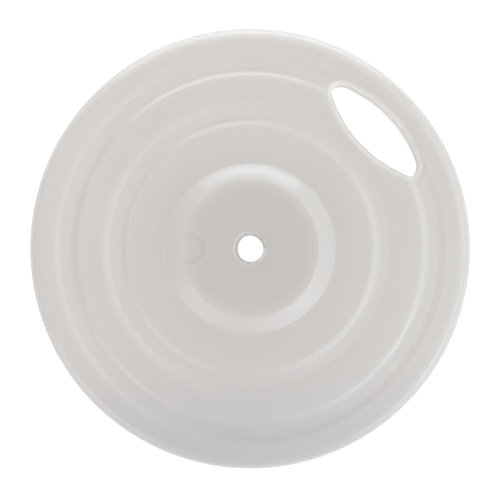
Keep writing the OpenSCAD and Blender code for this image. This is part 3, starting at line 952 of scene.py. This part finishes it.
def shell_mesh(plate, slot, filler):
    """The hollow plate: two turned skins, joined by the slot's tunnel and the filler's hole."""
    outer_corners = plate_corners(plate)
    inner_corners = inset(outer_corners, plate.wall, filler.small_round)
    skin = Skin()
    rows = slot_rows(plate, slot, upper_height(outer_corners, plate))
    tunnel = skin.add(rows)
    skin.bands(tunnel)
    casing = skin.add(np.stack([
        slot_loop(slot, plate.wall, height)
        for height in (upper_height(inner_corners, plate), level(plate.wall))
    ]))
    skin.bands(casing, inward=True)
    ceiling = plate.recess_depth
    hole = filler.socket_radius + filler.socket_fit
    filler_hole = skin.add(turned([(hole, ceiling + plate.wall), (hole, ceiling)], FILLER_TURNS, FILLER.xy))
    skin.bands(filler_hole)

    middle = SHELL_HIGH.y - slot.inset
    slot_reach = (middle - slot.width, middle + SLOT_WINDOW_OUT * slot.width)
    slot_way = (math.pi / 2, SLOT_WINDOW_SIDE * slot.length / 2 / (middle - slot.width / 2))
    away = math.hypot(FILLER.x, FILLER.y)
    filler_reach = (away - FILLER_WINDOW_OUT * hole, away + FILLER_WINDOW_OUT * hole)
    filler_way = (math.atan2(FILLER.y, FILLER.x), FILLER_WINDOW_SIDE * math.asin(hole / away))
    skins = (
        (outer_corners, OUTER_STEP, OUTER_TURNS, (tunnel[0], tunnel[-1], filler_hole[1]), False),
        (inner_corners, INNER_STEP, INNER_TURNS, (casing[0], casing[1], filler_hole[0]), True),
    )
    for corners, step, turns, loops, inward in skins:
        outline = section(corners, step)
        rings = skin.add(turned(outline, turns))
        gaps = [
            gap_in(outline, turns, slot_reach, (ceiling, plate.boss_height), *slot_way),
            gap_in(outline, turns, slot_reach, (-MM, plate.wall + MM), *slot_way),
            gap_in(outline, turns, filler_reach, (ceiling - MM, ceiling + plate.wall + MM), *filler_way),
        ]
        skin.bands(rings, inward=inward, closed=True, gaps=gaps)
        for gap, loop, upward in zip(gaps, loops, (not inward, inward, inward)):
            skin.patch(rings, gap, loop, upward)
        if not inward:
            skin.points = waved(skin.points, plate)
    # Painted light and painted shade along the pole hole's and the slot's edges
    edge_light_and_shade = np.interp(hole_edge(skin.points, plate), *zip(*HOLE_LIGHT_AND_SHADE))
    edge_light_and_shade[tunnel] = slot_edge_light_and_shade(rows, slot)
    mesh = skin.mesh("base_shell_skin")
    mesh.attributes.new(EDGE_LIGHT_AND_SHADE, "FLOAT", "POINT").data.foreach_set("value", edge_light_and_shade)
    return mesh


class ARCHBASE_OT_plate(bpy.types.Operator):
    """Makes the hollow plate with its grooves, boss, pole hole, hand slot and mould seam"""

    bl_idname = "archbase.plate"
    bl_label = "Hollow plate"

    def execute(self, context):
        plate, slot = context.scene.archbase_plate, context.scene.archbase_slot
        filler = context.scene.archbase_filler
        material = milky_polyethylene(context.scene.archbase_finishes, plate, filler)
        meshes = [shell_mesh(plate, slot, filler)]
        seam_height = (plate.rim_foot_round + plate.rim_height - plate.rim_top_round) / 2
        rim = turned([(plate.radius, seam_height)], OUTER_TURNS)[0]
        meshes.append(outward(grown(seam_tree(), {"Bead": plate.seam, "Material": material}, rim)))
        made = piece("base_plate", meshes, material)
        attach(made, "base")
        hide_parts("base_shell")
        return {"FINISHED"}


# How deep a thread's ridge is sunk into its wall, and the share of its length over which it thins out
THREAD_SUNK = 0.3 * MM
THREAD_RUN_OUT = 0.1
# Angle in degrees from which an edge of the filler's pieces stays sharp
FILLER_SHARP = 40


def turned_mesh(name, corners):
    """A closed body turned round the filler's axis, from its underside to its top where it has no hole."""
    outline = without_repeats(rounded(corners, OUTER_STEP))
    on_axis = outline[:, 0] < SAME_PLACE
    skin = Skin()
    rings = skin.add(turned(outline[~on_axis], FILLER_TURNS, FILLER.xy))
    skin.bands(rings, closed=not on_axis.any())
    if on_axis.any():
        skin.cap(rings[0], downward=True)
        skin.cap(rings[-1])
    return skin.mesh(name)


def thread_mesh(tree, filler, foot, rise, radius, facing, material):
    """One thread's ridge in its place on the filler's axis."""
    mesh = outward(grown(tree, {
        "Radius": radius, "Rise": rise, "Turns": rise / filler.thread_pitch, "Depth": filler.thread_depth,
        "Sunk": THREAD_SUNK, "Root": filler.thread_root, "Tip": filler.thread_tip, "Facing": facing,
        "Run-out": THREAD_RUN_OUT, "Material": material,
    }))
    mesh.transform(Matrix.Translation((FILLER.x, FILLER.y, foot)))
    return mesh


class ARCHBASE_OT_socket(bpy.types.Operator):
    """Makes the threaded socket that is welded into the recess"""

    bl_idname = "archbase.socket"
    bl_label = "Filler socket"

    def execute(self, context):
        filler, colours = context.scene.archbase_filler, context.scene.archbase_finishes
        material = moulded_polyethylene("welded_polyethylene_socket", colours.socket, colours.plate)
        seat, top = SOCKET_LOW.z, SOCKET_HIGH.z
        flange_top = seat + filler.flange_height
        edge = filler.small_round
        body = turned_mesh("socket_body", [
            (filler.bore_radius, seat, edge),
            (filler.flange_radius, seat, edge),
            (filler.flange_radius, flange_top, edge),
            (filler.socket_radius, flange_top, edge / 2),
            (filler.socket_radius, top, edge),
            (filler.bore_radius, top, edge),
        ])
        thread = thread_mesh(ridge_tree(), filler, filler.socket_thread_foot, filler.socket_thread_rise,
                             filler.bore_radius, math.pi / 2, material)
        made = piece("socket", [body, thread], material, sharp=FILLER_SHARP)
        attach(made, "base")
        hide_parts("filler_socket")
        return {"FINISHED"}


def grip_mesh(filler):
    """The bar on the plug's head, with rounded edges and a fillet at its root."""
    half_run = (filler.grip_length - filler.grip_width) / 2
    edge = filler.edge_round
    swing = np.linspace(0, math.pi / 2, GRIP_STEPS)
    head_foot = WASHER_LOW.z - filler.head_height
    stages = [(-edge * (1 - math.sin(a)), PLUG_LOW.z + edge * (1 - math.cos(a))) for a in swing]
    stages += [(edge * (1 - math.cos(a)), head_foot - edge * (1 - math.sin(a))) for a in swing]
    stages.append((edge, head_foot + filler.head_height / 2))
    turn = np.linspace(-math.pi / 2, math.pi / 2, GRIP_STEPS * 2)
    rings = []
    for grow, height in stages:
        radius = filler.grip_width / 2 + grow
        right = np.stack([half_run + radius * np.cos(turn), radius * np.sin(turn)], axis=1)
        plan = np.concatenate([right, -right])
        rings.append(np.column_stack([plan + FILLER.xy, np.full(len(plan), height)]))
    skin = Skin()
    numbers = skin.add(np.stack(rings))
    skin.bands(numbers)
    skin.cap(numbers[0], downward=True)
    skin.cap(numbers[-1])
    return skin.mesh("plug_grip")


class ARCHBASE_OT_plug(bpy.types.Operator):
    """Makes the screw plug with its thread and finger grip"""

    bl_idname = "archbase.plug"
    bl_label = "Filler plug"

    def execute(self, context):
        filler, colours = context.scene.archbase_filler, context.scene.archbase_finishes
        material = moulded_polyethylene("moulded_polyethylene_plug", colours.plug, colours.socket)
        head_top = WASHER_LOW.z
        head_foot = head_top - filler.head_height
        cup = filler.shank_radius - filler.plug_wall
        edge = filler.edge_round
        body = turned_mesh("plug_body", [
            (0, head_foot, 0),
            (filler.head_radius, head_foot, edge),
            (filler.head_radius, head_top, edge / 2),
            (filler.shank_radius, head_top, edge / 4),
            (filler.shank_radius, PLUG_HIGH.z, edge / 2),
            (cup, PLUG_HIGH.z, edge / 2),
            (cup, head_top, edge),
            (0, head_top, 0),
        ])
        thread = thread_mesh(ridge_tree(), filler, filler.plug_thread_foot, filler.plug_thread_rise,
                             filler.shank_radius, -math.pi / 2, material)
        made = piece("plug", [body, thread, grip_mesh(filler)], material, sharp=FILLER_SHARP)
        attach(made, "plug")
        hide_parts("filler_plug")
        return {"FINISHED"}


class ARCHBASE_OT_washer(bpy.types.Operator):
    """Makes the sealing washer under the plug's head"""

    bl_idname = "archbase.washer"
    bl_label = "Plug washer"

    def execute(self, context):
        filler = context.scene.archbase_filler
        material = moulded_rubber(context.scene.archbase_finishes)
        body = turned_mesh("washer_body", [
            (filler.washer_hole, WASHER_LOW.z + filler.washer_fit, filler.small_round),
            (filler.washer_radius, WASHER_LOW.z + filler.washer_fit, filler.small_round),
            (filler.washer_radius, WASHER_HIGH.z, filler.small_round),
            (filler.washer_hole, WASHER_HIGH.z, filler.small_round),
        ])
        made = piece("washer", [body], material, sharp=FILLER_SHARP)
        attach(made, "washer")
        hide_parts("plug_washer")
        return {"FINISHED"}


# Stage

# The paper reaches this far from the axis, in this many lines of points, and lies just below the plate's foot
FLOOR_REACH = 8.0
FLOOR_LINES = 5
FLOOR_DROP = 0.2 * MM
# Lit panels of the tent: azimuth and elevation in degrees, how narrowly they shine, strength and colour.
# Azimuth 0 is the picture's right edge and 90 its upper edge.
PANELS = (
    (315, 20, 12, 1.77, "#F8F9FF"),
    (225, 20, 12, 1.72, "#FFFAF7"),
    (45, 50, 12, 0.64, "#FDFEFF"),
    (0, 50, 12, 0.95, "#FDFEFF"),
    (135, 50, 12, 0.44, "#FFFAF8"),
)
# Lamps: name, azimuth, elevation, distance, width and height in metres, watts and colour
LAMPS = (
    ("upper_strip", 100, 18, 0.7, 1.3, 0.05, 0.78, "#FFFFFF"),
    ("near_upper_strip", 90, 30, 0.45, 0.7, 0.06, 0.12, "#FFE7CF"),
    ("low_upper_strip", 90, 6, 0.45, 0.7, 0.06, 0.54, "#E4F5FF"),
    ("right_strip", 0, 20, 0.45, 0.7, 0.06, 0.23, "#F8FFFB"),
    ("left_strip", 180, 28, 0.7, 0.8, 0.05, 0.31, "#FFF8FD"),
    ("left_box", 180, 60, 0.6, 0.5, 0.3, 0.2, "#FFFAFD"),
    ("lower_right_box", 315, 60, 0.6, 0.5, 0.3, 0.23, "#EEF6FF"),
)


def towards(heading, azimuth, elevation):
    """A direction in the picture as one in the part's frame."""
    turn, rise = heading + math.radians(azimuth), math.radians(elevation)
    return Vector((math.cos(turn) * math.cos(rise), math.sin(turn) * math.cos(rise), math.sin(rise)))


def paper_floor(colours):
    """Matt white paper that glows to straight, mirrored and passing looks, so it reads white.

    It still holds a soft shadow. Its back lets rays through, so the base can be seen from below.
    """
    material, tree = new_material("matt_white_paper")
    lit = add_node(tree, "ShaderNodeBsdfDiffuse", {"Color": colours.floor})
    part = add_node(tree, "ShaderNodeBsdfDiffuse", {"Color": colours.floor_shade})
    glow = add_node(tree, "ShaderNodeEmission", {"Color": (1, 1, 1, 1), "Strength": 0.9})
    shown = add_node(tree, "ShaderNodeAddShader", {0: part, 1: glow})
    path = add_node(tree, "ShaderNodeLightPath").outputs
    looks = path["Is Camera Ray"]
    for kind in ("Is Glossy Ray", "Is Transmission Ray"):
        looks = add_node(tree, "ShaderNodeMath", {0: looks, 1: path[kind]}, operation="MAXIMUM")
    front = add_node(tree, "ShaderNodeMixShader", {0: looks, 1: lit, 2: shown})
    clear = add_node(tree, "ShaderNodeBsdfTransparent")
    back = add_node(tree, "ShaderNodeNewGeometry").outputs["Backfacing"]
    sheet = add_node(tree, "ShaderNodeMixShader", {0: back, 1: front, 2: clear})
    add_node(tree, "ShaderNodeOutputMaterial", {"Surface": sheet})
    return material


def light_tent(studio):
    """A white tent round the plate, brighter where its panels are lit."""
    world = bpy.data.worlds.new("light_tent")
    world.use_nodes = True
    tree = world.node_tree
    tree.nodes.clear()
    way = add_node(tree, "ShaderNodeTexCoord").outputs["Generated"]
    rise = add_node(tree, "ShaderNodeSeparateXYZ", {0: way}).outputs["Z"]
    under = add_node(tree, "ShaderNodeMath", {0: rise, 1: 0.0}, operation="LESS_THAN")
    light = add_node(
        tree, "ShaderNodeMath", {0: under, 1: studio.bounce, 2: studio.ambient}, operation="MULTIPLY_ADD"
    )
    for azimuth, elevation, narrowness, strength, colour in PANELS:
        middle = towards(studio.heading, azimuth, elevation)
        facing = add_node(tree, "ShaderNodeVectorMath", {0: way, 1: middle}, operation="DOT_PRODUCT")
        ahead = add_node(tree, "ShaderNodeMath", {0: facing, 1: 0.0}, operation="MAXIMUM")
        glow = add_node(tree, "ShaderNodeMath", {0: ahead, 1: narrowness}, operation="POWER")
        tinted = [strength * c for c in linear(colour)[:3]]
        light = add_node(tree, "ShaderNodeVectorMath", {0: glow, 1: tinted, 2: light},
                         operation="MULTIPLY_ADD")
    tent = add_node(tree, "ShaderNodeBackground", {"Color": light})
    add_node(tree, "ShaderNodeOutputWorld", {"Surface": tent})
    return world


def add_lamp(heading, name, azimuth, elevation, distance, width, height, watts, colour):
    """A soft box that looks at the plate's middle from a direction in the picture."""
    lamp = bpy.data.lights.new(name, "AREA")
    lamp.shape = "RECTANGLE"
    lamp.size, lamp.size_y = width, height
    lamp.energy = watts
    lamp.color = linear(colour)[:3]
    made = bpy.data.objects.new(name, lamp)
    made.location = distance * towards(heading, azimuth, elevation)
    made.rotation_euler = (-made.location).to_track_quat("-Z", "Y").to_euler()
    made.visible_camera = False
    bpy.context.scene.collection.objects.link(made)


class ARCHBASE_OT_stage(bpy.types.Operator):
    """Sets up the floor, the light and the camera straight above the plate"""

    bl_idname = "archbase.stage"
    bl_label = "Stage"

    def execute(self, context):
        scene, studio = context.scene, context.scene.archbase_studio
        skin = Skin()
        steps = np.linspace(-FLOOR_REACH, FLOOR_REACH, FLOOR_LINES)
        rows = skin.add(np.array([[(x, y, -FLOOR_DROP) for x in steps] for y in steps]))
        for a, b in zip(rows[:-1], rows[1:]):
            skin.faces.extend(zip(a[:-1], a[1:], b[1:], b[:-1]))
        floor = piece("floor", [skin.mesh("floor_sheet")], paper_floor(scene.archbase_finishes))
        floor.visible_diffuse = False
        floor.visible_shadow = False
        scene.world = light_tent(studio)
        for settings in LAMPS:
            add_lamp(studio.heading, *settings)
        camera = bpy.data.cameras.new("camera")
        camera.sensor_fit = "HORIZONTAL"
        camera.lens = studio.lens
        made = bpy.data.objects.new("camera", camera)
        right = Vector((math.cos(studio.heading), math.sin(studio.heading), 0))
        up = Vector((-right.y, right.x, 0))
        made.location = -studio.camera_left * right - studio.camera_down * up
        made.location.z = studio.camera_height
        made.rotation_euler = (0, 0, studio.heading)
        scene.collection.objects.link(made)
        scene.camera = made
        scene.view_settings.view_transform = "Standard"
        return {"FINISHED"}


class ARCHBASE_PT_sidebar(bpy.types.Panel):
    """Lists the steps that build the base"""

    bl_label = "Balloon arch base"
    bl_space_type = "VIEW_3D"
    bl_region_type = "UI"
    bl_category = "Arch base"

    def draw(self, context):
        for step in STEPS:
            self.layout.operator(step.bl_idname)
        for name in SETTINGS:
            box = self.layout.box()
            group = getattr(context.scene, name)
            for key in group.bl_rna.properties.keys():
                if key not in ("rna_type", "name"):
                    box.prop(group, key)


STEPS = (ARCHBASE_OT_plate, ARCHBASE_OT_socket, ARCHBASE_OT_washer, ARCHBASE_OT_plug, ARCHBASE_OT_stage)
SETTINGS = {
    "archbase_plate": PlateSizes,
    "archbase_slot": SlotSizes,
    "archbase_filler": FillerSizes,
    "archbase_finishes": Finishes,
    "archbase_studio": StudioSettings,
}


def register():
    """Adds the settings, the operators and the panel to Blender."""
    for name, group in SETTINGS.items():
        bpy.utils.register_class(group)
        setattr(bpy.types.Scene, name, bpy.props.PointerProperty(type=group))
    for step in (*STEPS, ARCHBASE_PT_sidebar):
        bpy.utils.register_class(step)


def unregister():
    """Takes them away again."""
    for step in (ARCHBASE_PT_sidebar, *reversed(STEPS)):
        bpy.utils.unregister_class(step)
    for name, group in reversed(SETTINGS.items()):
        delattr(bpy.types.Scene, name)
        bpy.utils.unregister_class(group)


def main():
    """Builds every piece in order."""
    register()
    for step in STEPS:
        group, action = step.bl_idname.split(".")
        getattr(getattr(bpy.ops, group), action)()


if __name__ == "__main__":
    main()
